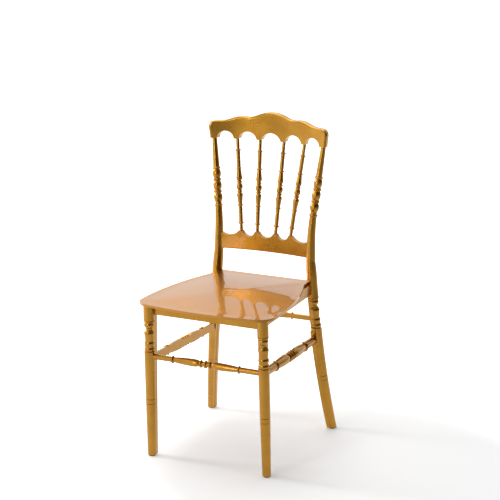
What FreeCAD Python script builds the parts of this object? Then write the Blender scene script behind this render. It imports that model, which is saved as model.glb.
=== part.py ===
import FreeCAD, Part
import Sketcher
import math
import os
import re

# Gold resin banquet chair with a spindle back. Millimetres, Z up, the front faces -Y.
# The origin is on the floor in the middle of the footprint. The chair mirrors about X = 0.

# Driving dimensions
SIZES = {
    # Overall heights
    "total_height": 900,
    "seat_height": 450,
    "seat_thickness": 12,
    "shoulder_height": 821,
    # Front leg axis at the floor and at the seat
    "front_foot_x": 172.9,
    "front_foot_y": -178.2,
    "front_top_x": 167.1,
    "front_top_y": -194.4,
    # Back post axis at the floor, at the seat and at the crest, and how far it bows between them
    "rear_foot_x": 193.4,
    "rear_foot_y": 225.5,
    "post_x": 146.9,
    "post_y": 174.6,
    "shoulder_x": 166.4,
    "shoulder_y": 199.1,
    "leg_bow_x": 2.3,
    "leg_bow_y": 12.8,
    "back_bow_x": 10.4,
    "back_bow_y": 5.0,
    "back_bow_skew": 0.6,
    # Clearances
    "joint_gap": 0.15,
    "butt_gap": 0.2,
    "thread_gap": 0.03,
    # Leg turning, radii
    "leg_radius": 15.1,
    "leg_low_bead_radius": 14.8,
    "leg_low_neck_radius": 12.9,
    "leg_mid_bead_radius": 14.4,
    "leg_vase_foot_radius": 11.9,
    "leg_vase_shoulder_radius": 13.4,
    "leg_vase_crown": 1.1,
    "leg_neck_radius": 9.5,
    "leg_bead_base_radius": 11.6,
    "leg_bead_radius": 14.1,
    "leg_ring_base_radius": 13.6,
    "leg_ring_radius": 15.3,
    "front_foot_radius": 11.5,
    "front_calf_radius": 13.9,
    "rear_leg_radius": 15.6,
    "rear_foot_radius": 13.0,
    "leg_groove_depth": 1.4,
    "leg_groove_width": 2.6,
    "leg_groove_pitch": 13,
    "leg_groove_height": 161,
    # Leg turning, lengths stacked upwards from the plain lower leg
    "front_plain_height": 304,
    "rear_plain_height": 310,
    "leg_quirk": 1.3,
    "leg_low_bead_length": 11,
    "leg_low_neck_length": 4.6,
    "leg_mid_bead_length": 11.3,
    "leg_vase_rise": 16,
    "leg_vase_length": 11,
    "leg_vase_shoulder": 6,
    "leg_neck_length": 3,
    "leg_flare": 3.4,
    "leg_bead_length": 13,
    "leg_ring_length": 4.6,
    # Flat web on the inner side of each leg
    "web_inner": 14.5,
    "web_back": 20,
    "web_foot_inner": 10.5,
    "web_foot_back": 13,
    "rear_web_front": 9,
    "rear_web_low_front": 16,
    "rear_web_foot_front": 14,
    "rear_web_back": 12,
    "rear_web_split": 300,
    # Back post turning above the seat, radii
    "post_seat_radius": 15.0,
    "post_rail_radius": 13.1,
    "post_rail_top_radius": 11.6,
    "post_waist_radius": 10.0,
    "post_ring_radius": 12.4,
    "post_bead_base_radius": 9.3,
    "post_low_bead_radius": 12.8,
    "post_mid_bead_radius": 12.5,
    "post_high_bead_radius": 12.1,
    "post_collar_radius": 11.8,
    "post_collar_base_radius": 10.3,
    "post_neck_radius": 9.2,
    "post_top_radius": 6.8,
    # Back post turning, the straight rail joint and the lengths stacked up to the crest
    "rail_joint_bottom": 502,
    "rail_joint_top": 572,
    "post_turning_height": 628.5,
    "post_ring_length": 5,
    "post_quirk": 1.2,
    "post_hollow": 6.5,
    "post_bead_length": 24.5,
    "post_collar_length": 3.5,
    # Crest rail
    "crest_thickness": 22,
    "crest_bow": 28,
    "crest_end_x": 180,
    "crest_corner_drop": 21,
    "crest_shoulder_width": 20,
    "crest_boss_width": 13,
    "crest_hump_height": 885,
    "crest_dip_height": 883.5,
    "crest_end_height": 871,
    "crest_hump_x": 90,
    "crest_dip_x": 67,
    "crest_arch_rise": 21.5,
    "crest_edge_round": 5.5,
    "crest_arch_round": 2.2,
    # Lower back rail
    "rail_thickness": 15,
    "rail_bow": 15,
    "rail_bottom": 509.5,
    "rail_peak": 564,
    "rail_scallop": 14.5,
    "rail_boss_width": 11,
    "rail_tenon_thickness": 6,
    "rail_tenon_height": 26,
    "rail_tenon_length": 8,
    "rail_tenon_shoulder": 8,
    "rail_edge_round": 3.5,
    # Spindles, turned alike either side of a middle bead
    "spindle_inner_x": 28.3,
    "spindle_outer_x": 76.3,
    "spindle_inner_top_x": 36.6,
    "spindle_outer_top_x": 102.8,
    "spindle_middle": 124,
    "spindle_end_radius": 4.8,
    "spindle_plain_radius": 5.8,
    "spindle_neck_radius": 5.3,
    "spindle_ring_radius": 8.3,
    "spindle_vase_radius": 8.0,
    "spindle_vase_crown": 0.7,
    "spindle_bead_radius": 9.1,
    "spindle_bead_half": 9.5,
    "spindle_quirk": 1.3,
    "spindle_ring_length": 4.6,
    "spindle_vase_rise": 3,
    "spindle_vase_length": 9,
    "spindle_taper": 21,
    "spindle_plain_length": 45,
    "tenon_radius": 3.4,
    "tenon_length": 11,
    "post_tenon_radius": 5,
    "post_tenon_length": 13,
    "spindle_let_in": 0.6,
    "post_let_in": 1.0,
    # Seat outline
    "seat_front_y": -237.9,
    "seat_corner_x": 194,
    "seat_corner_y": -217.9,
    "seat_side_bulge": 19,
    "seat_rear_x": 143,
    "seat_rear_side_y": 128.1,
    "seat_rear_y": 175.6,
    "seat_corner_round": 40,
    "seat_neck_round": 60,
    "seat_edge_round": 5.2,
    "seat_border": 24,
    "seat_crown_slope": 42,
    "seat_crown_rise": 5.0,
    # Aprons
    "apron_bottom": 408,
    "apron_thickness": 12,
    "front_apron_y": -190.4,
    "side_apron_front_x": 162,
    "side_apron_rear_x": 150,
    "rear_apron_y": 178.6,
    "apron_tenon_thickness": 6,
    "apron_tenon_length": 5,
    "apron_tenon_shoulder": 5,
    "apron_tenon_shift": 2.5,
    # Stretchers
    "front_stretcher_height": 289.6,
    "side_stretcher_front_height": 285,
    "side_stretcher_rear_height": 274,
    "rear_stretcher_height": 334.5,
    "side_stretcher_inset": 7.5,
    "front_stretcher_radius": 7.4,
    "front_stretcher_swell": 10.4,
    "side_stretcher_radius": 11.6,
    "side_stretcher_swell": 14.6,
    "rear_stretcher_radius": 7.4,
    "rear_stretcher_swell": 9.6,
    "stretcher_ring_rise": 3.2,
    "stretcher_bead_half": 4.2,
    "stretcher_quirk": 1.2,
    "stretcher_ring_length": 4.4,
    "stretcher_hollow": 6,
    "stretcher_swell_rise": 19,
    "front_stretcher_taper": 60,
    "side_stretcher_taper": 62,
    "rear_stretcher_taper": 48,
    "stretcher_flat": 3.5,
    "stretcher_tenon_radius": 4.5,
    "stretcher_tenon_length": 8,
    # Corner blocks
    "block_height": 22,
    "block_length": 46,
    "block_nose": 9,
    "block_end": 8,
    # Screws
    "screw_radius": 1.9,
    "screw_head_radius": 3.8,
    "screw_head_height": 2.4,
    "screw_hole_radius": 2.2,
    "screw_head_gap": 0.4,
    "seat_screw_bite": 6.5,
    "seat_screw_inset": 15.5,
    "block_screw_bite": 9,
    "block_screw_seat": 12,
    "block_screw_reach": 30,
    # Foot glides
    "glide_height": 3,
    "glide_radius": 9,
    "glide_stem_radius": 3,
    "glide_stem_length": 15,
}

doc = FreeCAD.newDocument("chiavari_chair")
sheet = doc.addObject("Spreadsheet::Sheet", "Dimensions")
for row, (alias, value) in enumerate(SIZES.items(), start=1):
    sheet.set(f"A{row}", alias)
    sheet.set(f"B{row}", str(value))
    sheet.setAlias(f"B{row}", alias)
doc.recompute()


# Expressions over the dimension sheet
def full(text):
    return re.sub(r"[a-z_]{3,}", lambda m: f"Dimensions.{m[0]}" if m[0] in SIZES else m[0], str(text))


def num(text):
    return float(sheet.evalExpression(full(text)))


def bind(thing, name, text):
    thing.setExpression(name, full(text))


# Axis of the front leg and of the back post, as expressions of the height
def along(start, end, share):
    return f"(({start}) + (({end}) - ({start})) * ({share}))"


def front_leg_at(height):
    share = f"(({height}) / seat_height)"
    return (along("front_foot_x", "front_top_x", share), along("front_foot_y", "front_top_y", share), height)


def back_post_at(height):
    if num(height) <= num("seat_height"):
        share = f"(({height}) / seat_height)"
        bow = f"4 * {share} * (1 - {share})"
        x = f"({along('rear_foot_x', 'post_x', share)} - leg_bow_x * {bow})"
        y = f"({along('rear_foot_y', 'post_y', share)} - leg_bow_y * {bow})"
    else:
        share = f"((({height}) - seat_height) / (shoulder_height - seat_height))"
        bow = f"4 * {share} * (1 - {share}) * (1 + back_bow_skew * (1 - 2 * {share}))"
        x = f"({along('post_x', 'shoulder_x', share)} - back_bow_x * {bow})"
        y = f"({along('post_y', 'shoulder_y', share)} - back_bow_y * {bow})"
    return (x, y, height)


def bowed(x, half, end, bow):
    radius = f"((({half})^2 + ({bow})^2) / (2 * ({bow})))"
    return f"(({end}) + ({bow}) - {radius} + sqrt({radius}^2 - ({x})^2))"


# Sketches
def plane(body, role):
    return next(item for item in body.Origin.OriginFeatures if item.Role == role)


def sketch_on(body, name, role, offset=None):
    sketch = body.newObject("Sketcher::SketchObject", name)
    sketch.AttachmentSupport = (plane(body, role), [""])
    sketch.MapMode = "FlatFace"
    if offset:
        bind(sketch, "AttachmentOffset", offset)
    return sketch


def at(x, y, z):
    return f"placement(vector({x}; {y}; {z}); rotation(0; 0; 0))"


def closed_outline(sketch, points):
    """Lines between the points, unless a point has a third value for the edge that follows it:

    how far that edge bulges to its left, as an arc, or the points that it runs through, as a spline.
    """
    count = len(points)
    first = sketch.GeometryCount
    corners = [FreeCAD.Vector(num(p[0]), num(p[1]), 0) for p in points]
    ends = []
    for i, point in enumerate(points):
        here = corners[i]
        there = corners[(i + 1) % count]
        if len(point) < 3:
            sketch.addGeometry(Part.LineSegment(here, there))
            ends.append((1, 2))
            continue
        if isinstance(point[2], list):
            through = [FreeCAD.Vector(num(x), num(y), 0) for x, y in point[2]]
            spline = Part.BSplineCurve()
            spline.interpolate([here, *through, there])
            sketch.addGeometry(spline)
            ends.append((1, 2))
            continue
        bulge = num(point[2])
        chord = there - here
        side = FreeCAD.Vector(-chord.y, chord.x, 0).normalize()
        radius = (chord.Length**2 / 4 + bulge**2) / (2 * abs(bulge))
        center = (here + there) / 2 + side * (bulge - math.copysign(radius, bulge))
        start, stop = (there, here) if bulge > 0 else (here, there)
        angles = [math.atan2(p.y - center.y, p.x - center.x) for p in (start, stop)]
        circle = Part.Circle(center, FreeCAD.Vector(0, 0, 1), radius)
        sketch.addGeometry(Part.ArcOfCircle(circle, angles[0], angles[1]))
        ends.append((2, 1) if bulge > 0 else (1, 2))
    for i, point in enumerate(points):
        after = (i + 1) % count
        this, other = first + i, first + after
        sketch.addConstraint(Sketcher.Constraint("Coincident", this, ends[i][1], other, ends[after][0]))
        for kind, value in (("DistanceX", point[0]), ("DistanceY", point[1])):
            rule = Sketcher.Constraint(kind, -1, 1, this, ends[i][0], num(value))
            bind(sketch, f"Constraints[{sketch.addConstraint(rule)}]", value)
        if len(point) == 3 and not isinstance(point[2], list):
            ahead = points[after]
            chord = f"((({ahead[0]}) - ({point[0]}))^2 + (({ahead[1]}) - ({point[1]}))^2)"
            radius = f"({chord} / 4 + ({point[2]})^2) / (2 * abs({point[2]}))"
            rule = Sketcher.Constraint("Radius", this, num(radius))
            bind(sketch, f"Constraints[{sketch.addConstraint(rule)}]", radius)
    return sketch


def round_section(body, name, center, radius):
    sketch = sketch_on(body, name, "XY_Plane", at(*center))
    sketch.addGeometry(Part.Circle(FreeCAD.Vector(0, 0, 0), FreeCAD.Vector(0, 0, 1), num(radius)))
    sketch.addConstraint(Sketcher.Constraint("Coincident", 0, 3, -1, 1))
    rule = sketch.addConstraint(Sketcher.Constraint("Radius", 0, num(radius)))
    bind(sketch, f"Constraints[{rule}]", radius)
    return sketch


# Solid features
def new_body(name):
    body = doc.addObject("PartDesign::Body", name)
    body.Label = name
    return body


def pad(body, name, sketch, length, both=False):
    feature = body.newObject("PartDesign::Pad", name)
    feature.Profile = sketch
    feature.Midplane = both
    bind(feature, "Length", length)
    doc.recompute()
    return feature


def loft(body, name, sections, ruled=False):
    feature = body.newObject("PartDesign::AdditiveLoft", name)
    feature.Profile = sections[0]
    feature.Sections = sections[1:]
    feature.Ruled = ruled
    doc.recompute()
    return feature


def aimed(start, end):
    """Offset on the XZ plane that lays the sketch's Y axis along the line from start to end."""
    run = [f"(({b}) - ({a}))" for a, b in zip(start, end)]
    turn = f"-atan({run[0]} / {run[2]})"
    tip = f"-atan({run[1]} / sqrt({run[0]}^2 + {run[2]}^2))"
    return f"placement(vector({start[0]}; {start[2]}; -({start[1]})); rotation({turn}; 0; {tip}))"


def turned(body, name, start, end, profile, cut=False, ring=False):
    """Revolves (height along the line, radius, bulge) about the line from start to end."""
    sketch = sketch_on(body, f"{name}_profile", "XZ_Plane", aimed(start, end))
    points = [(p[1], p[0], *p[2:]) for p in profile]
    if not ring:
        points = [("0", profile[0][0]), *points, ("0", profile[-1][0])]
    closed_outline(sketch, points)
    feature = body.newObject("PartDesign::Groove" if cut else "PartDesign::Revolution", name)
    feature.Profile = sketch
    feature.ReferenceAxis = (sketch, ["V_Axis"])
    feature.Angle = 360
    doc.recompute()
    return feature


def distance(start, end):
    return "sqrt(" + " + ".join(f"(({b}) - ({a}))^2" for a, b in zip(start, end)) + ")"


def stacked(height, elements):
    """Turning elements of (length, low radius, high radius, bulge) piled up from a height."""
    points = []
    for length, low, high, *bulge in elements:
        if points and points[-1][1] == low:
            points.pop()
        points.append((height, low, *bulge))
        height = f"({height} + {length})"
        points.append((height, high))
    return points


def bead(length, base, crown):
    return (length, base, base, f"{base} - {crown}")


def levelled(body, name, low, high=None):
    """Cuts a leg level at its foot and, if asked, at its top."""
    for side, height in (("foot", low), ("top", high)):
        if height is None:
            continue
        sketch = sketch_on(body, f"{name}_{side}", "XY_Plane", at("0", "0", height))
        reach = "2 * seat_corner_x"
        back = f"-{reach}"
        closed_outline(sketch, [(back, back), (reach, back), (reach, reach), (back, reach)])
        cut = body.newObject("PartDesign::Pocket", f"{name}_{side}_cut")
        cut.Profile = sketch
        cut.Reversed = side == "top"
        cut.Length = 60
        doc.recompute()


def primitive(body, kind, name, frame, **sizes):
    """Adds or cuts a box or cylinder set in a frame of the body."""
    feature = body.newObject(f"PartDesign::{kind}", name)
    feature.AttachmentSupport = (plane(body, "XY_Plane"), [""])
    feature.MapMode = "FlatFace"
    bind(feature, "AttachmentOffset", frame)
    for side, value in sizes.items():
        bind(feature, side, value)
    doc.recompute()
    return feature


def solid(kind, name, frame, **sizes):
    feature = doc.addObject(f"Part::{kind}", name)
    bind(feature, "Placement", frame)
    for side, value in sizes.items():
        bind(feature, side, value)
    return feature


def mirrored(piece, name):
    twin = doc.addObject("Part::Mirroring", name)
    twin.Label = name
    twin.Source = piece
    twin.Normal = (1, 0, 0)
    return twin


def fitted(name, piece, neighbours):
    """Lets a piece into the pieces it butts against."""
    group = doc.addObject("Part::Compound", f"{name}_neighbours")
    group.Links = neighbours
    cut = doc.addObject("Part::Cut", f"{name}_fitted")
    cut.Base = piece
    cut.Tool = group
    return cut


def called(name, piece):
    piece.Label = name
    return piece


def joined(name, pieces):
    fuse = doc.addObject("Part::MultiFuse", name)
    fuse.Label = name
    fuse.Shapes = pieces
    return fuse


NODES = []


def keep(*pieces):
    NODES.extend(pieces)


SEAT_UNDERSIDE = "(seat_height - seat_thickness)"

# Depth of the flat web from the leg axis, at any height
def web_inner_at(height):
    return along("web_foot_inner", "web_inner", f"(({height}) / seat_height)")


def web_back_at(height):
    return along("web_foot_back", "web_back", f"(({height}) / seat_height)")


# Joints, each given once and used by both of its pieces
APRON_HEIGHT = f"({SEAT_UNDERSIDE} - apron_bottom)"
ROOT = "4"


def side_apron_end(end):
    """Middle of the side apron where it meets the leg, in plan."""
    if end == "front":
        _, y, _ = front_leg_at("apron_bottom")
        return "(side_apron_front_x - apron_thickness / 2)", f"({y} + {web_back_at('apron_bottom')})"
    _, y, _ = back_post_at(SEAT_UNDERSIDE)
    return "(side_apron_rear_x - apron_thickness / 2)", f"({y} - rear_web_front)"


def cross_apron_end(end):
    """Middle of the front or rear apron where it meets the right leg, in plan."""
    x, _, _ = front_leg_at(SEAT_UNDERSIDE) if end == "front" else back_post_at(SEAT_UNDERSIDE)
    y = "(front_apron_y + apron_thickness / 2)" if end == "front" else "(rear_apron_y - apron_thickness / 2)"
    return f"({x} - {web_inner_at(SEAT_UNDERSIDE)})", y


TENON_Z = "(apron_bottom + apron_tenon_shoulder)"
TENON_HEIGHT = f"({APRON_HEIGHT} - 2 * apron_tenon_shoulder)"
TENON_RUN = f"({ROOT} + apron_tenon_length)"


def side_tenon(end):
    x, y = side_apron_end(end)
    start = f"({y} - apron_tenon_length)" if end == "front" else f"({y} - {ROOT})"
    corner = (f"({x} + apron_tenon_shift - apron_tenon_thickness / 2)", start, TENON_Z)
    return corner, ("apron_tenon_thickness", TENON_RUN, TENON_HEIGHT)


def cross_tenon(end):
    x, y = cross_apron_end(end)
    corner = (f"({x} - {ROOT})", f"({y} - apron_tenon_thickness / 2)", TENON_Z)
    return corner, (TENON_RUN, "apron_tenon_thickness", TENON_HEIGHT)


def rail_middle_y(x):
    end_x, end_y, _ = back_post_at("rail_bottom")
    return bowed(x, end_x, end_y, "rail_bow")


def rail_tenon():
    x, _, _ = back_post_at("rail_bottom")
    face = f"({x} - post_rail_radius)"
    corner = (
        f"({face} - {ROOT})",
        f"({rail_middle_y(face)} - rail_tenon_thickness / 2)",
        "(rail_bottom + rail_tenon_shoulder)",
    )
    return corner, (f"({ROOT} + rail_tenon_length)", "rail_tenon_thickness", "rail_tenon_height")


def tenon_cut(body, name, corner, size):
    """Cuts a mortise round a tenon, with the joint gap on every side."""
    grown = [f"({value} - joint_gap)" for value in corner]
    sizes = [f"({value} + 2 * joint_gap)" for value in size]
    primitive(body, "SubtractiveBox", name, at(*grown), Length=sizes[0], Width=sizes[1], Height=sizes[2])


def tenon_solid(name, corner, size):
    return solid("Box", name, at(*corner), Length=size[0], Width=size[1], Height=size[2])


def glide_socket(body, foot):
    primitive(
        body,
        "SubtractiveCylinder",
        "glide_socket",
        at(foot[0], foot[1], "0"),
        Radius="glide_stem_radius + joint_gap",
        Height="glide_height + glide_stem_length + joint_gap",
    )


def stretcher_line(name):
    """Start and end of a stretcher's axis, on the axes of its two legs, and its inner side's turn."""
    if name == "front":
        x, y, z = front_leg_at("front_stretcher_height")
        return (f"-{x}", y, z), (x, y, z)
    if name == "rear":
        x, y, z = back_post_at("rear_stretcher_height")
        return (x, y, z), (f"-{x}", y, z)
    front = front_leg_at("side_stretcher_front_height")
    rear = back_post_at("side_stretcher_rear_height")
    return tuple((f"({x} - side_stretcher_inset)", y, z) for x, y, z in (front, rear))


def stretcher_frame(name, along_axis="0"):
    """Frame whose Z axis runs along the stretcher and whose Y axis points inwards."""
    start, end = stretcher_line(name)
    run = [f"(({b}) - ({a}))" for a, b in zip(start, end)]
    length = distance(start, end)
    turn = {"front": "0", "rear": "180", "side": f"(90deg - atan({run[0]} / {run[1]}))"}[name]
    place = [f"({a} + {r} / {length} * ({along_axis}))" for a, r in zip(start, run)]
    tip = f"(90deg - asin({run[2]} / {length}))"
    return f"placement(vector({place[0]}; {place[1]}; {place[2]}); rotation({turn}; {tip}; 0))"


def stretcher_tenon(end):
    """Stretcher, distance along it and length of the tenon at one of its ends."""
    name = end.split("_")[0]
    length = distance(*stretcher_line(name))
    depth = {
        "front": web_inner_at("front_stretcher_height"),
        "rear": web_inner_at("rear_stretcher_height"),
        "side_front": web_back_at("side_stretcher_front_height"),
        "side_rear": "rear_web_low_front",
    }[end]
    near = f"({depth} - stretcher_tenon_length)"
    run = f"(stretcher_tenon_length + {ROOT})"
    if end in ("side_rear", "front"):
        return name, f"({length} - {depth} - {ROOT})", run
    return name, near, run


def stretcher_socket(body, end):
    name, place, run = stretcher_tenon(end)
    frame = stretcher_frame(name, f"{place} - joint_gap")
    radius, height = "stretcher_tenon_radius + joint_gap", f"{run} + 2 * joint_gap"
    primitive(body, "SubtractiveCylinder", f"{end}_socket", frame, Radius=radius, Height=height)


# Legs share one run of beads above the plain lower leg
LEG_BEADS = [
    ("leg_quirk", "leg_low_neck_radius", "leg_low_neck_radius"),
    bead("leg_low_bead_length", "leg_low_neck_radius", "leg_low_bead_radius"),
    ("leg_low_neck_length", "leg_low_neck_radius", "leg_low_neck_radius"),
    bead("leg_mid_bead_length", "leg_low_neck_radius", "leg_mid_bead_radius"),
    ("leg_quirk", "leg_vase_foot_radius", "leg_vase_foot_radius"),
    ("leg_vase_rise", "leg_vase_foot_radius", "leg_vase_shoulder_radius"),
    ("leg_vase_length", "leg_vase_shoulder_radius", "leg_vase_shoulder_radius", "-leg_vase_crown"),
    ("leg_vase_shoulder", "leg_vase_shoulder_radius", "leg_neck_radius"),
    ("leg_neck_length", "leg_neck_radius", "leg_neck_radius"),
    ("leg_flare", "leg_neck_radius", "leg_bead_base_radius"),
    bead("leg_bead_length", "leg_bead_base_radius", "leg_bead_radius"),
    ("leg_quirk", "leg_ring_base_radius", "leg_ring_base_radius"),
    bead("leg_ring_length", "leg_ring_base_radius", "leg_ring_radius"),
    ("leg_quirk", "leg_ring_base_radius", "leg_ring_base_radius"),
]


def grooves(body, name, start, end, height, radius):
    """Two shallow V grooves round the lower leg."""
    for label, sign in (("low", "-"), ("high", "+")):
        middle = f"({height} {sign} leg_groove_pitch / 2)"
        outer = f"({radius} + 1)"
        profile = [
            (f"{middle} - leg_groove_width / 2", outer),
            (middle, f"{radius} - leg_groove_depth"),
            (f"{middle} + leg_groove_width / 2", outer),
        ]
        turned(body, f"{name}_{label}_groove", start, end, profile, cut=True, ring=True)


# Front leg: turned on a leaning axis, with a flat web on its inner side
def front_leg():
    body = new_body("right_front_leg")
    foot, top = front_leg_at("0"), front_leg_at("seat_height")
    sections = []
    for end, height, inner, back in (
        ("foot", "0", "web_foot_inner", "web_foot_back"),
        ("top", "seat_height", "web_inner", "web_back"),
    ):
        x, y, _ = front_leg_at(height)
        sketch = sketch_on(body, f"web_{end}", "XY_Plane", at(x, y, height))
        closed_outline(sketch, [
            (f"-{inner}", f"-{inner} / 5"),
            ("0", f"-{inner} / 5"),
            (f"{inner} * 0.75", f"{back} * 0.4"),
            (f"{inner} / 4", back),
            (f"-{inner}", back),
        ])
        sections.append(sketch)
    below = "10"
    lower = [
        (f"-{below}", "front_foot_radius"),
        ("leg_groove_height", "front_calf_radius"),
        ("front_plain_height", "leg_radius"),
    ]
    beads = stacked("front_plain_height", LEG_BEADS)
    length = "(seat_height + 10)"
    plain = [(beads[-1][0], "leg_radius"), (length, "leg_radius")]
    turned(body, "turning", foot, top, lower + beads + plain)
    grooves(body, "lower", foot, top, "leg_groove_height", "front_calf_radius")
    loft(body, "web", sections, ruled=True)
    levelled(body, "level", "glide_height", SEAT_UNDERSIDE)
    blank = body.Tip
    glide_socket(body, front_leg_at("glide_height"))
    tenon_cut(body, "side_apron_mortise", *side_tenon("front"))
    tenon_cut(body, "front_apron_mortise", *cross_tenon("front"))
    for name in ("side_front", "front"):
        stretcher_socket(body, name)
    return body, blank


# Back post: the curved rear leg and the upright of the back in one turned length
def section_row(body, name, heights, radii):
    return [
        round_section(body, f"{name}_{i}", back_post_at(height), radius)
        for i, (height, radius) in enumerate(zip(heights, radii))
    ]


def web_section(body, name, height, inner, front, back):
    sketch = sketch_on(body, name, "XY_Plane", at(*back_post_at(height)))
    inside, ahead = f"-{inner}", f"-{front}"
    return closed_outline(sketch, [(inside, ahead), ("0", ahead), ("0", back), (inside, back)])


def back_post():
    body = new_body("right_back_post")
    # Lower leg, thinner and more splayed towards the floor
    shares = ["-0.03", "0.25", "0.5", "0.75", "1"]
    heights = [f"(rear_plain_height * {share})" for share in shares]
    radii = [along("rear_foot_radius", "rear_leg_radius", f"({share})") for share in shares]
    loft(body, "lower_leg", section_row(body, "leg_section", heights, radii))
    low, high = back_post_at("(leg_groove_height - 30)"), back_post_at("(leg_groove_height + 30)")
    radius = along("rear_foot_radius", "rear_leg_radius", "leg_groove_height / rear_plain_height")
    grooves(body, "lower", low, high, "30", radius)
    # Beads below the seat
    beads = stacked("0", LEG_BEADS)
    beads_top = f"(rear_plain_height + {beads[-1][0]})"
    low, high = back_post_at("rear_plain_height"), back_post_at(beads_top)
    root = ("-1", "leg_low_neck_radius")
    cap = (distance(low, high), "leg_ring_base_radius")
    turned(body, "leg_turning", low, high, [root, *beads[:-1], cap])
    # Past the seat, up to the straight stretch that takes the lower rail
    heights = [beads_top, SEAT_UNDERSIDE, "seat_height", "rail_joint_bottom"]
    radii = ["rear_leg_radius", "post_seat_radius", "post_seat_radius", "post_rail_radius"]
    loft(body, "seat_length", section_row(body, "seat_section", heights, radii))
    heights = ["rail_joint_bottom", "rail_joint_top"]
    radii = ["post_rail_radius", "post_rail_top_radius"]
    loft(body, "rail_length", section_row(body, "rail_section", heights, radii))
    heights = ["rail_joint_top", "((rail_joint_top + post_turning_height) / 2)", "post_turning_height"]
    radii = ["post_rail_top_radius", "((post_rail_top_radius + post_waist_radius) / 2)", "post_waist_radius"]
    loft(body, "waist_length", section_row(body, "waist_section", heights, radii))
    # Beads of the back and the slender top with its tenon
    low, high = back_post_at("post_turning_height"), back_post_at("shoulder_height")
    ring = bead("post_ring_length", "post_collar_base_radius", "post_ring_radius")
    collar = bead("post_collar_length", "post_collar_base_radius", "post_collar_radius")
    quirk = ("post_quirk", "post_bead_base_radius", "post_bead_base_radius")
    profile = stacked("0", [
        ring,
        quirk,
        ("post_hollow", "post_bead_base_radius", "post_bead_base_radius"),
        bead("post_bead_length", "post_bead_base_radius", "post_low_bead_radius"),
        quirk,
        collar,
        collar,
        quirk,
        bead("post_bead_length", "post_bead_base_radius", "post_mid_bead_radius"),
        quirk,
        collar,
        collar,
        quirk,
        bead("post_bead_length", "post_bead_base_radius", "post_high_bead_radius"),
        quirk,
        bead("post_ring_length", "post_collar_base_radius", "post_collar_radius"),
        ("post_quirk", "post_neck_radius", "post_neck_radius"),
    ])
    length = distance(low, high)
    shoulder = f"({length} + post_let_in)"
    top = [
        (shoulder, "post_top_radius"),
        (shoulder, "post_tenon_radius"),
        (f"{shoulder} + post_tenon_length", "post_tenon_radius"),
    ]
    turned(body, "back_turning", low, high, [("-1", "post_collar_base_radius"), *profile, *top])
    # Flat web on the inner side, deeper in front below the beads, ending under the seat
    top = f"({SEAT_UNDERSIDE} - butt_gap)"
    for label, heights in (
        ("low", ["0", "(rear_web_split / 2)", "rear_web_split"]),
        ("high", ["rear_web_split", f"((rear_web_split + {top}) / 2)", top]),
    ):
        row = []
        for i, height in enumerate(heights):
            inner = web_inner_at(height)
            back = along("web_foot_back", "rear_web_back", f"{height} / seat_height")
            front = along("rear_web_foot_front", "rear_web_low_front", f"{height} / rear_web_split")
            front = front if label == "low" else "rear_web_front"
            row.append(web_section(body, f"web_{label}_{i}", height, inner, front, back))
        loft(body, f"web_{label}", row)
    levelled(body, "level", "glide_height")
    blank = body.Tip
    glide_socket(body, back_post_at("glide_height"))
    tenon_cut(body, "side_apron_mortise", *side_tenon("rear"))
    tenon_cut(body, "rear_apron_mortise", *cross_tenon("rear"))
    tenon_cut(body, "rail_mortise", *rail_tenon())
    for name in ("side_rear", "rear"):
        stretcher_socket(body, name)
    return body, blank


front_leg_piece, front_blank = front_leg()
back_post_piece, back_blank = back_post()
left_front_blank = mirrored(front_blank, "left_front_blank")
left_back_blank = mirrored(back_blank, "left_back_blank")
keep(front_leg_piece, back_post_piece)
keep(mirrored(front_leg_piece, "left_front_leg"))


# Stretchers, turned round outside and flat inside
def mirrored_stack(middle, center, elements, end, length):
    """Turning elements that run both ways from a middle bead, between plain ends."""
    reach = " + ".join([f"{center[0]} / 2", *(element[0] for element in elements)])
    lower = [(size, high, low, *bulge) for size, low, high, *bulge in reversed(elements)]
    points = stacked(f"({middle} - ({reach}))", [*lower, center, *elements])
    steps = [[] if point[1] == end else [(point[0], end)] for point in (points[0], points[-1])]
    return [("0", end), *steps[0], *points, *steps[1], (length, end)]


def stretcher(name, label, blanks, ends):
    plain, swell = f"{name}_stretcher_radius", f"{name}_stretcher_swell"
    ring = f"({plain} + stretcher_ring_rise)"
    length = distance(*stretcher_line(name))
    neck = f"({plain} * 0.92)"
    elements = [
        ("stretcher_quirk", neck, neck),
        ("stretcher_hollow", neck, neck),
        bead("stretcher_ring_length", neck, ring),
        ("stretcher_quirk", neck, neck),
        ("stretcher_swell_rise", neck, swell, f"({neck} - {swell}) / 4"),
        (f"{name}_stretcher_taper", swell, neck, f"({neck} - {swell}) / 4"),
        bead("stretcher_ring_length", plain, ring),
    ]
    center = bead("2 * stretcher_bead_half", neck, ring)
    profile = mirrored_stack(f"({length} / 2)", center, elements, plain, length)
    body = new_body(f"{label}_blank")
    bind(body, "Placement", stretcher_frame(name))
    sketch = sketch_on(body, "profile", "XZ_Plane")
    closed_outline(sketch, [("0", "0"), *[(p[1], p[0], *p[2:]) for p in profile], ("0", length)])
    turning = body.newObject("PartDesign::Revolution", "turning")
    turning.Profile = sketch
    turning.ReferenceAxis = (sketch, ["V_Axis"])
    turning.Angle = 360
    doc.recompute()
    side = f"2 * {swell} + 20"
    frame = at(f"-({side}) / 2", "stretcher_flat", "-1")
    primitive(body, "SubtractiveBox", "flat", frame, Length=side, Width=side, Height=f"{length} + 2")
    tenons = []
    for end in ends:
        _, place, run = stretcher_tenon(end)
        places = [place] if name == "side" else [place, f"({length} - {place} - {run})"]
        for i, start in enumerate(places):
            frame, radius = stretcher_frame(name, start), "stretcher_tenon_radius"
            tenons.append(solid("Cylinder", f"{label}_{end}_tenon_{i}", frame, Radius=radius, Height=run))
    return joined(label, [fitted(label, body, blanks), *tenons])


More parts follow.
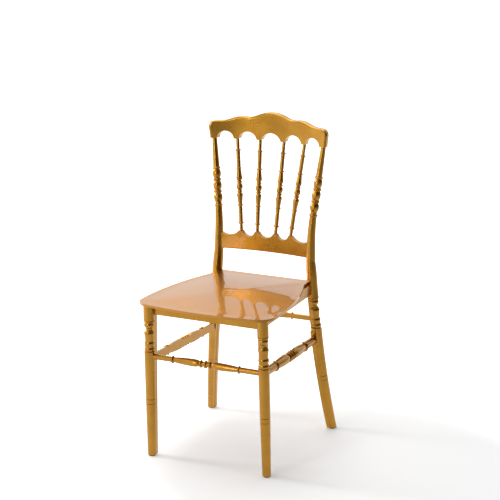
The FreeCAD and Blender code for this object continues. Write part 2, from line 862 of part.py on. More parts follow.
keep(stretcher("front", "front_stretcher", [front_blank, left_front_blank], ["front"]))
keep(stretcher("rear", "rear_stretcher", [back_blank, left_back_blank], ["rear"]))
side_stretcher = stretcher("side", "right_stretcher", [front_blank, back_blank], ["side_front", "side_rear"])
keep(side_stretcher, mirrored(side_stretcher, "left_stretcher"))


# Rails of the back: a bowed strip cut to its outline, with rounded edges
def bowed_rail(name, half, end_y, bow, reach, thickness, low, high, outline):
    body = new_body(name)
    back = bowed(reach, half, end_y, bow)
    sag = f"({end_y} + {bow} - {back})"
    strip = sketch_on(body, "strip", "XY_Plane", at("0", "0", low))
    closed_outline(strip, [
        (f"-{reach}", f"({back} - {thickness} / 2)", sag),
        (reach, f"({back} - {thickness} / 2)"),
        (reach, f"({back} + {thickness} / 2)", f"-{sag}"),
        (f"-{reach}", f"({back} + {thickness} / 2)"),
    ])
    pad(body, "bowed_strip", strip, f"({high}) - ({low})")
    shape = sketch_on(body, "outline", "XZ_Plane")
    frame_x, frame_low, frame_high = f"({reach} + 30)", f"({low} - 30)", f"({high} + 30)"
    closed_outline(shape, [
        (f"-{frame_x}", frame_low),
        (frame_x, frame_low),
        (frame_x, frame_high),
        (f"-{frame_x}", frame_high),
    ])
    closed_outline(shape, outline)
    cut = body.newObject("PartDesign::Pocket", "shaped")
    cut.Profile = shape
    cut.Midplane = True
    cut.Length = 1000
    doc.recompute()
    return body


def edges_where(shape, test):
    return [f"Edge{i}" for i, edge in enumerate(shape.Edges, start=1) if test(edge)]


def runs_through(edge):
    """True of an edge that runs straight through the thickness of a rail."""
    box = edge.BoundBox
    return box.XLength < 0.5 and box.ZLength < 0.5


def rounded(body, name, edges, radius):
    base = body.Tip
    feature = body.newObject("PartDesign::Fillet", name)
    feature.Base = (base, edges)
    bind(feature, "Radius", radius)
    doc.recompute()
    return feature


def arches(posts, width, height, rise, way):
    """Line over a row of bosses, flat on each boss and with an arc after it."""
    back = "-" if way == "+" else "+"
    points = []
    for x in posts:
        points.append((f"({x} {back} {width} / 2)", height))
        points.append((f"({x} {way} {width} / 2)", height, rise))
    return points


def spindle_line(place):
    bottom, top = f"spindle_{place}_x", f"spindle_{place}_top_x"
    start = (bottom, rail_middle_y(bottom), "rail_peak")
    return start, (top, bowed(top, "shoulder_x", "shoulder_y", "crest_bow"), "shoulder_height")


def both_sides(line):
    return ("right", line), ("left", tuple((f"-({x})", y, z) for x, y, z in line))


def socket(body, name, line, low, high, radius):
    """Round hole along a line, in the rail on either side of the middle."""
    for side, ends in both_sides(line):
        turned(body, f"{name}_{side}_socket", *ends, [(low, radius), (high, radius)], cut=True)


# Crest rail
def crest_blank():
    spindles = ["-spindle_outer_top_x", "-spindle_inner_top_x", "spindle_inner_top_x", "spindle_outer_top_x"]
    shoulder_in = "(shoulder_x - crest_shoulder_width / 2)"
    shoulder_out = "(shoulder_x + crest_shoulder_width / 2)"
    side_height = "(crest_end_height - crest_corner_drop)"
    half_top = [
        ("crest_end_x - 1.5", "crest_end_height - 10"),
        ("crest_end_x - 8", "crest_end_height - 2.5"),
        ("crest_end_x - 20", "crest_end_height"),
        ("crest_hump_x + 48", "crest_end_height + 1.5"),
        ("crest_hump_x + 23", "(crest_end_height + crest_hump_height) / 2 + 2"),
        ("crest_hump_x", "crest_hump_height"),
        ("crest_dip_x", "crest_dip_height"),
        ("crest_dip_x / 2", "(crest_dip_height + total_height) / 2 + 2.5"),
    ]
    top = [*half_top, ("0", "total_height"), *((f"-({x})", z) for x, z in reversed(half_top))]
    outline = [
        (f"-{shoulder_out}", "shoulder_height"),
        (f"-{shoulder_in}", "shoulder_height", "crest_arch_rise"),
        *arches(spindles, "crest_boss_width", "shoulder_height", "crest_arch_rise", "+"),
        (shoulder_in, "shoulder_height"),
        (shoulder_out, "shoulder_height"),
        ("crest_end_x", side_height, top),
        ("-crest_end_x", side_height),
    ]
    body = bowed_rail(
        "crest_blank", "shoulder_x", "shoulder_y", "crest_bow", "(crest_end_x + 6)", "crest_thickness",
        "shoulder_height", "(total_height + 5)", outline,
    )
    level = num("shoulder_height + crest_arch_rise") + 0.5
    top_rim = edges_where(body.Shape, lambda edge: edge.BoundBox.ZMax > level and not runs_through(edge))
    rounded(body, "top_rim", top_rim, "crest_edge_round")
    for place in ("inner", "outer"):
        line = spindle_line(place)
        length = distance(*line)
        tip = f"({length} + spindle_let_in + tenon_length + joint_gap)"
        socket(body, place, line, f"({length} - 2)", tip, "(tenon_radius + joint_gap)")
    line = back_post_at("post_turning_height"), back_post_at("shoulder_height")
    length = distance(*line)
    tip = f"({length} + post_let_in + post_tenon_length + joint_gap)"
    socket(body, "post", line, f"({length} - 2)", tip, "(post_tenon_radius + joint_gap)")
    return body


# Lower back rail
def rail_blank():
    reach, end_y, _ = back_post_at("rail_bottom")
    spindles = ["spindle_outer_x", "spindle_inner_x", "-spindle_inner_x", "-spindle_outer_x"]
    outline = [
        (f"-{reach}", "rail_bottom"),
        (reach, "rail_bottom"),
        (reach, "rail_peak", "rail_scallop"),
        *arches(spindles, "rail_boss_width", "rail_peak", "rail_scallop", "-"),
        (f"-{reach}", "rail_peak"),
    ]
    body = bowed_rail(
        "rail_blank", reach, end_y, "rail_bow", reach, "rail_thickness",
        "rail_bottom", "(rail_peak + 5)", outline,
    )
    level = num("rail_bottom") + 0.5
    bottom_rim = edges_where(body.Shape, lambda edge: edge.BoundBox.ZMax < level and not runs_through(edge))
    rounded(body, "bottom_rim", bottom_rim, "rail_edge_round")
    for place in ("inner", "outer"):
        tip = "-(spindle_let_in + tenon_length + joint_gap)"
        socket(body, place, spindle_line(place), tip, "2", "(tenon_radius + joint_gap)")
    return body


# Spindles
def spindle(place):
    line = spindle_line(place)
    length = distance(*line)
    neck, plain = "spindle_neck_radius", "spindle_plain_radius"
    ring = bead("spindle_ring_length", plain, "spindle_ring_radius")
    quirk = ("spindle_quirk", neck, neck)
    elements = [
        quirk,
        ring,
        quirk,
        ("spindle_vase_rise", neck, "spindle_vase_radius"),
        ("spindle_vase_length", "spindle_vase_radius", "spindle_vase_radius", "-spindle_vase_crown"),
        ("spindle_taper", "spindle_vase_radius", plain),
        ring,
        quirk,
        ("spindle_plain_length", plain, plain),
        ring,
    ]
    center = bead("2 * spindle_bead_half", plain, "spindle_bead_radius")
    middle = mirrored_stack("spindle_middle", center, elements, "spindle_end_radius", length)[1:-1]
    low, high = "-spindle_let_in", f"({length} + spindle_let_in)"
    ends = "spindle_end_radius", "tenon_radius"
    lower = [(f"({low} - tenon_length)", ends[1]), (low, ends[1]), (low, ends[0])]
    upper = [(high, ends[0]), (high, ends[1]), (f"({high} + tenon_length)", ends[1])]
    body = new_body(f"spindle_{place}_right")
    turned(body, "turning", *line, [*lower, *middle, *upper])
    return body


inner_spindle, outer_spindle = spindle("inner"), spindle("outer")
left_inner_spindle = mirrored(inner_spindle, "spindle_inner_left")
left_outer_spindle = mirrored(outer_spindle, "spindle_outer_left")
left_back_post = mirrored(back_post_piece, "left_back_post")
spindles = [inner_spindle, outer_spindle, left_inner_spindle, left_outer_spindle]
keep(left_back_post, *spindles)
keep(called("crest_rail", fitted("crest", crest_blank(), [back_post_piece, left_back_post, *spindles])))
rail = fitted("rail", rail_blank(), [back_blank, left_back_blank, *spindles])
rail_tongue = tenon_solid("rail_tenon", *rail_tenon())
keep(joined("lower_back_rail", [rail, rail_tongue, mirrored(rail_tongue, "left_rail_tenon")]))


# Corner blocks and screws, placed from the faces of the two aprons in each corner
def side_inner_x(y):
    (_, front), (_, rear) = side_apron_end("front"), side_apron_end("rear")
    share = f"((({y}) - {front}) / ({rear} - {front}))"
    return f"({along('side_apron_front_x', 'side_apron_rear_x', share)} - apron_thickness)"


def corner_spot(end, out, depth):
    """Point at a distance from the side apron and a distance from the front or rear apron."""
    if end == "front":
        y = f"(front_apron_y + apron_thickness + butt_gap + {depth})"
    else:
        y = f"(rear_apron_y - apron_thickness - butt_gap - {depth})"
    return f"({side_inner_x(y)} - butt_gap - {out})", y


AXES = {
    "up": ("0", "0", "1", "rotation(0; 0; 0)"),
    "front": ("0", "-1", "0", "rotation(0; 0; 90)"),
    "rear": ("0", "1", "0", "rotation(0; 0; -90)"),
    "side": ("1", "0", "0", "rotation(0; 90; 0)"),
}


def driven(start, axis, depth):
    """Frame on a screw's axis, a depth past the seat of its head."""
    *way, turn = AXES[axis]
    place = [f"({a} + ({depth}) * {w})" for a, w in zip(start, way)]
    return f"placement(vector({place[0]}; {place[1]}; {place[2]}); {turn})"


def screw_place(end, use):
    """Where the head of a screw sits, its direction, the depth it clamps and its bite beyond."""
    if use == "seat":
        spot = corner_spot(end, "seat_screw_inset", "seat_screw_inset")
        return (*spot, f"({SEAT_UNDERSIDE} - block_height)"), "up", "block_height", "seat_screw_bite"
    if use == "side":
        spot = corner_spot(end, "block_screw_seat", "block_screw_reach")
    else:
        spot = corner_spot(end, "block_screw_reach", "block_screw_seat")
    start = (*spot, f"({SEAT_UNDERSIDE} - block_height / 2)")
    return start, "side" if use == "side" else end, "(block_screw_seat + butt_gap)", "block_screw_bite"


def screw(end, use):
    start, axis, clamped, bite = screw_place(end, use)
    name = f"{end}_{use}_screw"
    head, shank = driven(start, axis, "-screw_head_height"), driven(start, axis, "-1")
    length = f"{clamped} + {bite} + 1"
    return joined(name, [
        solid("Cylinder", f"{name}_head", head, Radius="screw_head_radius", Height="screw_head_height"),
        solid("Cylinder", f"{name}_shank", shank, Radius="screw_radius", Height=length),
    ])


def pilot(body, end, use, sides=("right",)):
    """Threaded hole for a screw, on one side of the chair or on both."""
    start, axis, clamped, bite = screw_place(end, use)
    for side in sides:
        x = start[0] if side == "right" else f"-{start[0]}"
        frame = driven((x, *start[1:]), axis, f"{clamped} - 2")
        radius, height = "screw_radius + thread_gap", f"{bite} + 2 + joint_gap"
        name = f"{end}_{use}_{side}_pilot"
        primitive(body, "SubtractiveCylinder", name, frame, Radius=radius, Height=height)


def corner_block(end):
    body = new_body(f"right_{end}_corner_block")
    sketch = sketch_on(body, "plan", "XY_Plane", at("0", "0", f"({SEAT_UNDERSIDE} - block_height)"))
    closed_outline(sketch, [
        corner_spot(end, "block_nose", "0"),
        corner_spot(end, "block_length", "0"),
        corner_spot(end, "block_length", "block_end"),
        corner_spot(end, "block_end", "block_length"),
        corner_spot(end, "0", "block_length"),
        corner_spot(end, "0", "block_nose"),
    ])
    pad(body, "block", sketch, "block_height")
    for use in ("seat", "cross", "side"):
        start, axis, clamped, _ = screw_place(end, use)
        frame = driven(start, axis, "-1")
        primitive(
            body, "SubtractiveCylinder", f"{use}_hole", frame,
            Radius="screw_hole_radius", Height=f"{clamped} + 2",
        )
        if use != "seat":
            frame = driven(start, axis, "-block_length")
            primitive(
                body, "SubtractiveCylinder", f"{use}_counterbore", frame,
                Radius="screw_head_radius + screw_head_gap", Height="block_length",
            )
    return body


for end in ("front", "rear"):
    block = corner_block(end)
    keep(block, mirrored(block, f"left_{end}_corner_block"))

for name, uses in (("seat_screws", ["seat"]), ("corner_block_screws", ["cross", "side"])):
    right = [screw(end, use) for end in ("front", "rear") for use in uses]
    group = doc.addObject("Part::Compound", name)
    group.Links = right + [mirrored(piece, f"left_{piece.Name}") for piece in right]
    keep(group)


# Aprons
def cross_apron(end, blanks):
    body = new_body(f"{end}_apron_blank")
    x, _ = cross_apron_end(end)
    half = f"({x} + 1)"
    y = "front_apron_y" if end == "front" else "(rear_apron_y - apron_thickness)"
    primitive(
        body, "AdditiveBox", "board", at(f"-{half}", y, "apron_bottom"),
        Length=f"2 * {half}", Width="apron_thickness", Height=APRON_HEIGHT,
    )
    pilot(body, end, "cross", ("right", "left"))
    tenon = tenon_solid(f"{end}_apron_tenon", *cross_tenon(end))
    left_tenon = mirrored(tenon, f"left_{end}_apron_tenon")
    return joined(f"{end}_apron", [fitted(f"{end}_apron", body, blanks), tenon, left_tenon])


def side_apron():
    body = new_body("side_apron_blank")
    (_, front), (_, rear) = side_apron_end("front"), side_apron_end("rear")
    low, high = f"({front} - 1)", f"({rear} + 1)"
    sketch = sketch_on(body, "plan", "XY_Plane", at("0", "0", "apron_bottom"))
    closed_outline(sketch, [
        (side_inner_x(low), low),
        (f"({side_inner_x(low)} + apron_thickness)", low),
        (f"({side_inner_x(high)} + apron_thickness)", high),
        (side_inner_x(high), high),
    ])
    pad(body, "board", sketch, APRON_HEIGHT)
    for end in ("front", "rear"):
        pilot(body, end, "side")
    tenons = [tenon_solid(f"side_apron_{end}_tenon", *side_tenon(end)) for end in ("front", "rear")]
    return joined("right_apron", [fitted("side_apron", body, [front_blank, back_blank]), *tenons])


right_apron = side_apron()
keep(cross_apron("front", [front_blank, left_front_blank]))
keep(cross_apron("rear", [back_blank, left_back_blank]))
keep(right_apron, mirrored(right_apron, "left_apron"))


# Seat panel
def crown_section(body, name, inset, height):
    """Closed curve that follows the seat outline at an inset."""
    wide, front = f"(seat_corner_x - {inset})", f"(seat_corner_y + {inset})"
    half = [
        (f"{wide} * 0.65", f"seat_front_y + {inset} + 4"),
        (f"{wide} - 12", f"{front} + 10"),
        (f"{wide} - 4", f"{front} + 60"),
        (f"seat_rear_x + seat_side_bulge - {inset} + 8", "(seat_corner_y + seat_rear_side_y) / 2 + 30"),
        (f"seat_rear_x - {inset}", "seat_rear_side_y - 20"),
        (f"seat_rear_x - {inset} - 34", f"seat_rear_y - {inset} - 6"),
    ]
    sketch = sketch_on(body, name, "XY_Plane", at("0", "0", height))
    return closed_outline(sketch, [
        ("0", f"(seat_front_y + {inset})", half),
        ("0", f"(seat_rear_y - {inset})", [(f"-({x})", y) for x, y in reversed(half)]),
    ])


def seat_blank():
    body = new_body("seat_blank")
    sketch = sketch_on(body, "outline", "XY_Plane", at("0", "0", SEAT_UNDERSIDE))
    closed_outline(sketch, [
        ("-seat_corner_x", "seat_corner_y", "(seat_front_y - seat_corner_y)"),
        ("seat_corner_x", "seat_corner_y", "-seat_side_bulge"),
        ("seat_rear_x", "seat_rear_side_y"),
        ("seat_rear_x", "seat_rear_y"),
        ("-seat_rear_x", "seat_rear_y"),
        ("-seat_rear_x", "seat_rear_side_y", "-seat_side_bulge"),
    ])
    pad(body, "panel", sketch, "seat_thickness")
    for name, y in (("corner", "seat_corner_y"), ("neck", "seat_rear_side_y")):
        place = num(y)
        upright = edges_where(
            body.Shape,
            lambda edge: edge.BoundBox.ZLength > 1 and abs(edge.CenterOfMass.y - place) < 0.5,
        )
        rounded(body, f"{name}_rounds", upright, f"seat_{name}_round")
    rim = edges_where(body.Shape, lambda edge: edge.BoundBox.ZLength < 0.01)
    rounded(body, "rim", rim, "seat_edge_round")
    top_inset, top_height = "(seat_border + seat_crown_slope)", "(seat_height + seat_crown_rise)"
    crown = body.newObject("PartDesign::AdditiveLoft", "crown")
    crown.Profile = crown_section(body, "crown_foot", "seat_border", "seat_height")
    crown.Sections = [crown_section(body, "crown_top", top_inset, top_height)]
    crown.Ruled = True
    doc.recompute()
    for end in ("front", "rear"):
        pilot(body, end, "seat", ("right", "left"))
    return body


keep(called("seat_panel", fitted("seat", seat_blank(), [back_blank, left_back_blank])))

# Foot glides
for name, foot in (("front", front_leg_at("glide_height")), ("back", back_post_at("glide_height"))):
    place = (foot[0], foot[1], "0")
    disc = solid("Cylinder", f"{name}_disc", at(*place), Radius="glide_radius", Height="glide_height")
    reach = "glide_height + glide_stem_length"
    stem = solid("Cylinder", f"{name}_stem", at(*place), Radius="glide_stem_radius", Height=reach)
    glide = joined(f"right_{name}_glide", [disc, stem])
    keep(glide, mirrored(glide, f"left_{name}_glide"))

# Check every piece, then write it
doc.recompute()
for thing in doc.Objects:
    if {"Invalid", "Error"} & set(thing.State):
        raise RuntimeError(f"{thing.Name} did not build")
for piece in NODES:
    if piece.Shape.isNull() or not piece.Shape.isValid():
        raise RuntimeError(f"{piece.Label} has no valid shape")
os.makedirs("parts", exist_ok=True)
for piece in NODES:
    piece.Shape.exportStep(f"parts/{piece.Label}.step")
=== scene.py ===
import math

import bpy
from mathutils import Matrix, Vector
from mathutils.geometry import interpolate_bezier


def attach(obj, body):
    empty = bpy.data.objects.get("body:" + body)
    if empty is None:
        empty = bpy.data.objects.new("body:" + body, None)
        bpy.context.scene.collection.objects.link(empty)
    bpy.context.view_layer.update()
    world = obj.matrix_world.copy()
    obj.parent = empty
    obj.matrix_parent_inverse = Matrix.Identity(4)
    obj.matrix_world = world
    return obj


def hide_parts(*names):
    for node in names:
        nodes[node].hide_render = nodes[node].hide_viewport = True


# Gold resin banquet chair. Metres, Z up, the front of the chair faces -Y.
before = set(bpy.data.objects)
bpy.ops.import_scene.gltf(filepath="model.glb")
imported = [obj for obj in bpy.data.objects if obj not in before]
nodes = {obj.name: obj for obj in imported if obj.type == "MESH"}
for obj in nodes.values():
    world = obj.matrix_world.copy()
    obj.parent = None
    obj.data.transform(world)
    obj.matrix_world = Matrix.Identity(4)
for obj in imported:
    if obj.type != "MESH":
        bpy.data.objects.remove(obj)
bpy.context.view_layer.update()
scene = bpy.context.scene
MM = 0.001

# Pattern sizes of the finishes. The real flakes, nylon grain and zinc marks are finer; they are drawn this
# coarse so that they show.
CLOUD, FLAKE, WAVE = 45 * MM, 0.9 * MM, 14 * MM
NYLON_GRAIN, NYLON_DEPTH, ZINC_MARK = 0.6 * MM, 0.05 * MM, 0.8 * MM


# Colours are written as sRGB and turned to linear here
def linear(code):
    channels = [int(code[i:i + 2], 16) / 255 for i in (1, 3, 5)]
    return (*[c / 12.92 if c <= 0.04045 else ((c + 0.055) / 1.055) ** 2.4 for c in channels], 1.0)


# Adds a node with its settings and its inputs. An input is a value, or a link given as (node, socket);
# it goes by its name, or by its number as i0, i1 and so on where names repeat.
def add(tree, kind, settings=None, **inputs):
    node = tree.nodes.new(kind)
    for name, value in (settings or {}).items():
        setattr(node, name, value)
    for name, value in inputs.items():
        numbered = name[0] == "i" and name[1:].isdigit()
        socket = node.inputs[int(name[1:]) if numbered else name.replace("_", " ")]
        if isinstance(value, tuple) and isinstance(value[0], bpy.types.Node):
            tree.links.new(value[0].outputs[value[1]], socket)
        else:
            socket.default_value = value
    return node


def new_material(name):
    material = bpy.data.materials.new(name)
    material.use_nodes = True
    material.node_tree.nodes.clear()
    return material, material.node_tree


def dressed(obj, material):
    obj.data.materials.clear()
    obj.data.materials.append(material)


# Gold-pigmented resin: a cloudy metallic base under a clear moulded skin.
# The pigment lies in clouds a few centimetres wide, with a faint glitter of flakes in them.
def gold_resin(name, light, deep, base_rough, skin, skin_rough, ripple):
    material, tree = new_material(name)
    place = add(tree, "ShaderNodeTexCoord")
    cloud = add(
        tree, "ShaderNodeTexNoise",
        Vector=(place, "Object"), Scale=1 / CLOUD, Detail=3.0, Roughness=0.55,
    )
    flake = add(tree, "ShaderNodeTexVoronoi", Vector=(place, "Object"), Scale=1 / FLAKE)
    spread = add(
        tree, "ShaderNodeMapRange",
        Value=(cloud, "Fac"), From_Min=0.35, From_Max=0.65, To_Min=0.35, To_Max=0.65,
    )
    glitter = add(
        tree, "ShaderNodeMapRange",
        Value=(flake, "Distance"), From_Min=0.0, From_Max=0.8, To_Min=-0.12, To_Max=0.12,
    )
    blend = add(tree, "ShaderNodeMath", {"operation": "ADD"}, i0=(spread, 0), i1=(glitter, 0))
    tint = add(
        tree, "ShaderNodeMix", {"data_type": "RGBA"},
        i0=(blend, 0), i6=linear(deep), i7=linear(light),
    )
    rough = add(
        tree, "ShaderNodeMapRange",
        Value=(cloud, "Fac"), From_Min=0.3, From_Max=0.7,
        To_Min=base_rough - 0.03, To_Max=base_rough + 0.03,
    )
    wave = add(tree, "ShaderNodeTexNoise", Vector=(place, "Object"), Scale=1 / WAVE, Detail=1.0)
    bump = add(tree, "ShaderNodeBump", Height=(wave, "Fac"), Distance=ripple * MM, Strength=1.0)
    shader = add(
        tree, "ShaderNodeBsdfPrincipled",
        Base_Color=(tint, 2), Metallic=1.0, Roughness=(rough, 0), Normal=(bump, 0),
        Coat_Weight=skin, Coat_Roughness=skin_rough, Coat_Normal=(bump, 0),
    )
    add(tree, "ShaderNodeOutputMaterial", Surface=(shader, 0))
    return material


frame_gold = gold_resin(
    "gold pigmented resin, gloss moulded", "#CC9630", "#AA7216",
    base_rough=0.28, skin=0.5, skin_rough=0.05, ripple=0.015,
)
seat_gold = gold_resin(
    "gold pigmented resin, mirror moulded", "#CC8C2C", "#B87818",
    base_rough=0.40, skin=1.0, skin_rough=0.012, ripple=0.01,
)
block_gold = gold_resin(
    "gold pigmented resin, satin moulded", "#A87424", "#8A5A18",
    base_rough=0.5, skin=0.3, skin_rough=0.35, ripple=0.1,
)


# Glides: matt dark nylon with a fine moulded grain
def nylon():
    material, tree = new_material("dark brown nylon, moulded")
    place = add(tree, "ShaderNodeTexCoord")
    grain = add(tree, "ShaderNodeTexNoise", Vector=(place, "Object"), Scale=1 / NYLON_GRAIN, Detail=2.0)
    bump = add(tree, "ShaderNodeBump", Height=(grain, "Fac"), Distance=NYLON_DEPTH, Strength=0.6)
    tint = add(
        tree, "ShaderNodeMix", {"data_type": "RGBA"},
        i0=(grain, "Fac"), i6=linear("#2A2019"), i7=linear("#3A2E24"),
    )
    shader = add(
        tree, "ShaderNodeBsdfPrincipled",
        Base_Color=(tint, 2), Roughness=0.55, Normal=(bump, 0),
    )
    add(tree, "ShaderNodeOutputMaterial", Surface=(shader, 0))
    return material


# Screws: zinc-plated steel, unevenly polished
def zinc():
    material, tree = new_material("zinc plated steel")
    place = add(tree, "ShaderNodeTexCoord")
    marks = add(tree, "ShaderNodeTexNoise", Vector=(place, "Object"), Scale=1 / ZINC_MARK, Detail=3.0)
    rough = add(tree, "ShaderNodeMapRange", Value=(marks, "Fac"), To_Min=0.22, To_Max=0.4)
    shader = add(
        tree, "ShaderNodeBsdfPrincipled",
        Base_Color=linear("#C9CACC"), Metallic=1.0, Roughness=(rough, 0),
    )
    add(tree, "ShaderNodeOutputMaterial", Surface=(shader, 0))
    return material


glide_nylon, screw_zinc = nylon(), zinc()
for name, obj in nodes.items():
    if "glide" in name:
        dressed(obj, glide_nylon)
    elif "screws" in name:
        dressed(obj, screw_zinc)
    elif "block" in name:
        dressed(obj, block_gold)
    elif name == "seat_panel":
        dressed(obj, seat_gold)
    else:
        dressed(obj, frame_gold)


# Seat panel, in mm: bowed front, sides that draw in to the rear, a small notch at each back post.
# The knots follow the outline of the CAD panel. Each is a place, the direction the edge comes in and the
# one it leaves in.
SEAT_KNOTS = [
    ((0, -237.9), (1, 0), (1, 0)),
    ((159, -224.5), (0.986, 0.167), (0.986, 0.167)),
    ((195.6, -182.9), (0.027, 1), (0.027, 1)),
    ((187.2, -42), (-0.146, 0.989), (-0.146, 0.989)),
    ((146.6, 118), (-0.3425, 0.9395), (-0.3425, 0.9395)),
    ((143, 139.1), (0, 1), (0, 1)),
    ((143, 160.1), (0, 1), (-0.966, 0.259)),
    ((131.9, 175.6), (0.066, 0.998), (-1, 0)),
    ((0, 175.6), (-1, 0), (-1, 0)),
]
SEAT_UNDERSIDE, SEAT_THICKNESS = 438, 12
RIM_BEVEL, BEVEL_SEGMENTS = 5.2, 6
POINT_SPACING, FEWEST_STEPS = 6, 5
MANY_CORNERS = 50

# The crown starts at this share of the outline, measured from the crown's middle, and rises as a parabola
CROWN_FOOT, CROWN_RISE, CROWN_Y = 0.90, 7.5, -40
BORDER_RINGS = [0.96, 0.92]
CROWN_RINGS, RING_STEP = 35, 0.025


# Curves through the knots for the right half, close to circular arcs, and their mirror for the left half
def seat_outline():
    right = []
    for (start, _, leave), (end, arrive, _) in zip(SEAT_KNOTS, SEAT_KNOTS[1:]):
        start, end, leave, arrive = (Vector((*pair, 0)) for pair in (start, end, leave, arrive))
        chord = (end - start).length
        reach = chord * 2 / 3 / (1 + math.cos(leave.angle(arrive) / 2))
        steps = max(FEWEST_STEPS, round(chord / POINT_SPACING))
        right += interpolate_bezier(start, start + leave * reach, end - arrive * reach, end, steps)[:-1]
    right.append(Vector((0, SEAT_KNOTS[-1][0][1], 0)))
    left = [Vector((-point.x, point.y, 0)) for point in reversed(right[1:-1])]
    return [point * MM for point in right + left]


# Draws the selected face in towards the crown's middle and lifts it
def ring(scale, rise):
    bpy.ops.mesh.extrude_region_move()
    bpy.ops.transform.resize(value=(scale, scale, 1), center_override=(0, CROWN_Y * MM, 0))
    bpy.ops.transform.translate(value=(0, 0, rise))


# A flat panel with its upper rim bevelled, then rings that lift its middle inside a flat border.
# The top is the higher of the two faces that have the whole outline as their edge.
# The edge selection left by region_to_loop takes the bevel's faces along with the top, so the rings start
# at the bevel's lower edge: the finished edge is sharp, RIM_BEVEL below the CAD panel's, and a low cone
# stands in the middle.
def seat_panel():
    outline = seat_outline()
    bpy.ops.object.select_all(action="DESELECT")
    bpy.ops.mesh.primitive_circle_add(vertices=len(outline), fill_type="NGON")
    panel = bpy.context.object
    panel.name = "seat_panel_top"
    for vertex, point in zip(panel.data.vertices, outline):
        vertex.co = (point.x, point.y, SEAT_UNDERSIDE * MM)
    bpy.ops.object.mode_set(mode="EDIT")
    bpy.ops.mesh.select_mode(type="FACE")
    bpy.ops.mesh.select_all(action="SELECT")
    bpy.ops.mesh.extrude_region_move()
    bpy.ops.transform.translate(value=(0, 0, SEAT_THICKNESS * MM))
    bpy.ops.mesh.region_to_loop()
    bpy.ops.mesh.bevel(offset=RIM_BEVEL * MM, segments=BEVEL_SEGMENTS, affect="EDGES", clamp_overlap=False)
    bpy.ops.object.mode_set(mode="OBJECT")
    top = max(panel.data.polygons, key=lambda face: (len(face.vertices) > MANY_CORNERS, face.center.z))
    for face in panel.data.polygons:
        face.select = face.index == top.index
    bpy.ops.object.mode_set(mode="EDIT")
    scale, height = 1.0, 0.0
    for step in BORDER_RINGS + [CROWN_FOOT - RING_STEP * i for i in range(CROWN_RINGS)]:
        level = CROWN_RISE * (1 - (min(step, CROWN_FOOT) / CROWN_FOOT) ** 2)
        ring(step / scale, (level - height) * MM)
        scale, height = step, level
    bpy.ops.mesh.extrude_region_move()
    bpy.ops.mesh.merge(type="CENTER")
    bpy.ops.mesh.select_all(action="SELECT")
    bpy.ops.mesh.normals_make_consistent(inside=False)
    bpy.ops.object.mode_set(mode="OBJECT")
    bpy.ops.object.shade_smooth_by_angle(angle=math.radians(40))
    dressed(panel, seat_gold)
    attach(panel, "root")
    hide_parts("seat_panel")


seat_panel()


# Studio: a white floor that keeps the shadow, surroundings and four softboxes.
# The camera sees the floor glow white away from the shadow's place; near it the glow fades, so the grey
# there is partly the lamps' real shadow and partly painted shade.
# In the gold's reflections the floor is painted greyer and glows towards -X and the rear, a painted
# reflection that leaves the gold darker towards +X and the front.
FLOOR_SIZE = 60
SHADOW_PLACE = (0.35, -0.05, 0.0)
SHADOW_REACH, WHITE_REACH = 0.45, 1.0
MIRROR_SIDE, MIRROR_REACH = (-0.85, 0.5, 0.0), 2.0
ROOM_SIDE = (-0.85, 0.38, 0.35)
WHITE = (1.0, 1.0, 1.0, 1.0)


def floor():
    bpy.ops.object.select_all(action="DESELECT")
    bpy.ops.mesh.primitive_plane_add(size=FLOOR_SIZE)
    plane = bpy.context.object
    plane.name = "studio_floor"
    material, tree = new_material("white studio floor")
    path = add(tree, "ShaderNodeLightPath")
    place = add(tree, "ShaderNodeTexCoord")
    middle = add(
        tree, "ShaderNodeVectorMath", {"operation": "DISTANCE"},
        i0=(place, "Object"), i1=SHADOW_PLACE,
    )
    # The glow dims around SHADOW_PLACE: painted shade, with the lamps' real shadow falling inside it
    painted_shade_fade = add(
        tree, "ShaderNodeMapRange",
        Value=(middle, "Value"), From_Min=SHADOW_REACH, From_Max=WHITE_REACH, To_Min=0.15, To_Max=1.0,
    )
    # The floor's glow in reflections is a painted reflection: bright towards -X and the rear, dim towards
    # +X and the front, so it shades the gold on those sides
    depth = add(
        tree, "ShaderNodeVectorMath", {"operation": "DOT_PRODUCT"},
        i0=(place, "Object"), i1=MIRROR_SIDE,
    )
    painted_reflection_glow = add(
        tree, "ShaderNodeMapRange",
        Value=(depth, "Value"), From_Min=-MIRROR_REACH, From_Max=MIRROR_REACH, To_Min=0.0, To_Max=0.9,
    )
    direct = add(
        tree, "ShaderNodeMath", {"operation": "MULTIPLY"},
        i0=(path, "Is Camera Ray"), i1=(painted_shade_fade, 0),
    )
    glossy = add(
        tree, "ShaderNodeMath", {"operation": "MULTIPLY"},
        i0=(path, "Is Glossy Ray"), i1=(painted_reflection_glow, 0),
    )
    glow = add(tree, "ShaderNodeMath", {"operation": "ADD"}, i0=(direct, 0), i1=(glossy, 0))
    # The floor's own white, and a painted grey that only the gold's reflections see
    floor_white_and_painted_reflection_grey = add(
        tree, "ShaderNodeMix", {"data_type": "RGBA"},
        i0=(path, "Is Glossy Ray"), i6=linear("#EFEFEF"), i7=linear("#B4B4B4"),
    )
    shader = add(
        tree, "ShaderNodeBsdfPrincipled",
        Base_Color=(floor_white_and_painted_reflection_grey, 2), Roughness=0.9, Specular_IOR_Level=0.0,
        Emission_Color=WHITE, Emission_Strength=(glow, 0),
    )
    add(tree, "ShaderNodeOutputMaterial", Surface=(shader, 0))
    dressed(plane, material)


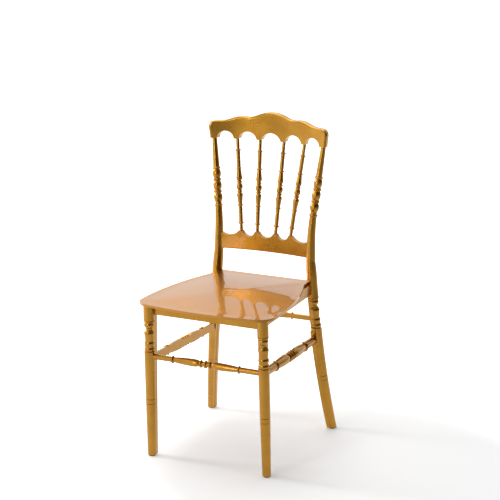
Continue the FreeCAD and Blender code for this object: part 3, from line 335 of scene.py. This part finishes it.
# The camera sees plain white. For the light on the chair the room is bright towards -X and the rear, and
# dark towards +X and the front.
def surroundings():
    world = bpy.data.worlds.new("white studio")
    scene.world = world
    world.use_nodes = True
    tree = world.node_tree
    tree.nodes.clear()
    path = add(tree, "ShaderNodeLightPath")
    place = add(tree, "ShaderNodeTexCoord")
    side = add(
        tree, "ShaderNodeVectorMath", {"operation": "DOT_PRODUCT"},
        i0=(place, "Generated"), i1=ROOM_SIDE,
    )
    level = add(
        tree, "ShaderNodeMapRange", {"interpolation_type": "SMOOTHSTEP"},
        Value=(side, "Value"), From_Min=-0.7, From_Max=0.7, To_Min=0.05, To_Max=1.0,
    )
    room = add(tree, "ShaderNodeBackground", Color=WHITE, Strength=(level, 0))
    white = add(tree, "ShaderNodeBackground", Color=WHITE, Strength=1.0)
    mix = add(tree, "ShaderNodeMixShader", i0=(path, "Is Camera Ray"), i1=(room, 0), i2=(white, 0))
    add(tree, "ShaderNodeOutputWorld", Surface=(mix, 0))


# An area lamp turned to its aim; glow is its brightness, whatever its size
def softbox(name, place, aim, size, glow):
    light = bpy.data.lights.new(name, "AREA")
    light.shape = "RECTANGLE"
    light.size, light.size_y = size
    light.energy = glow * math.pi * size[0] * size[1]
    lamp = bpy.data.objects.new(name, light)
    lamp.location = place
    lamp.rotation_euler = (Vector(aim) - Vector(place)).to_track_quat("-Z", "Y").to_euler()
    scene.collection.objects.link(lamp)


floor()
surroundings()
softbox("back softbox", place=(-1.2, 1.9, 3.6), aim=(0, 0, 0.5), size=(2.0, 1.6), glow=2.0)
softbox("front softbox", place=(-0.75, -3.0, 1.3), aim=(0, 0, 0.6), size=(0.5, 1.5), glow=6.0)
softbox("left softbox", place=(-3.0, -0.5, 1.9), aim=(0, 0, 0.5), size=(0.7, 1.5), glow=11.0)
softbox("top softbox", place=(-0.4, -0.2, 3.2), aim=(0, 0, 0.4), size=(1.4, 1.4), glow=2.5)

# Camera, in front of the chair and towards +X
AZIMUTH, ELEVATION = math.radians(25.5), math.radians(14.65)
TARGET = Vector((22.4, 34.8, 552.5)) * MM
DISTANCE, LENS = 4.1522, 109.9
back = Vector((
    math.sin(AZIMUTH) * math.cos(ELEVATION),
    -math.cos(AZIMUTH) * math.cos(ELEVATION),
    math.sin(ELEVATION),
))
camera = bpy.data.cameras.new("camera")
camera.sensor_width = 36
camera.lens = LENS
viewer = bpy.data.objects.new("camera", camera)
viewer.location = TARGET + back * DISTANCE
viewer.rotation_euler = (-back).to_track_quat("-Z", "Y").to_euler()
scene.collection.objects.link(viewer)
scene.camera = viewer
scene.view_settings.view_transform = "Standard"
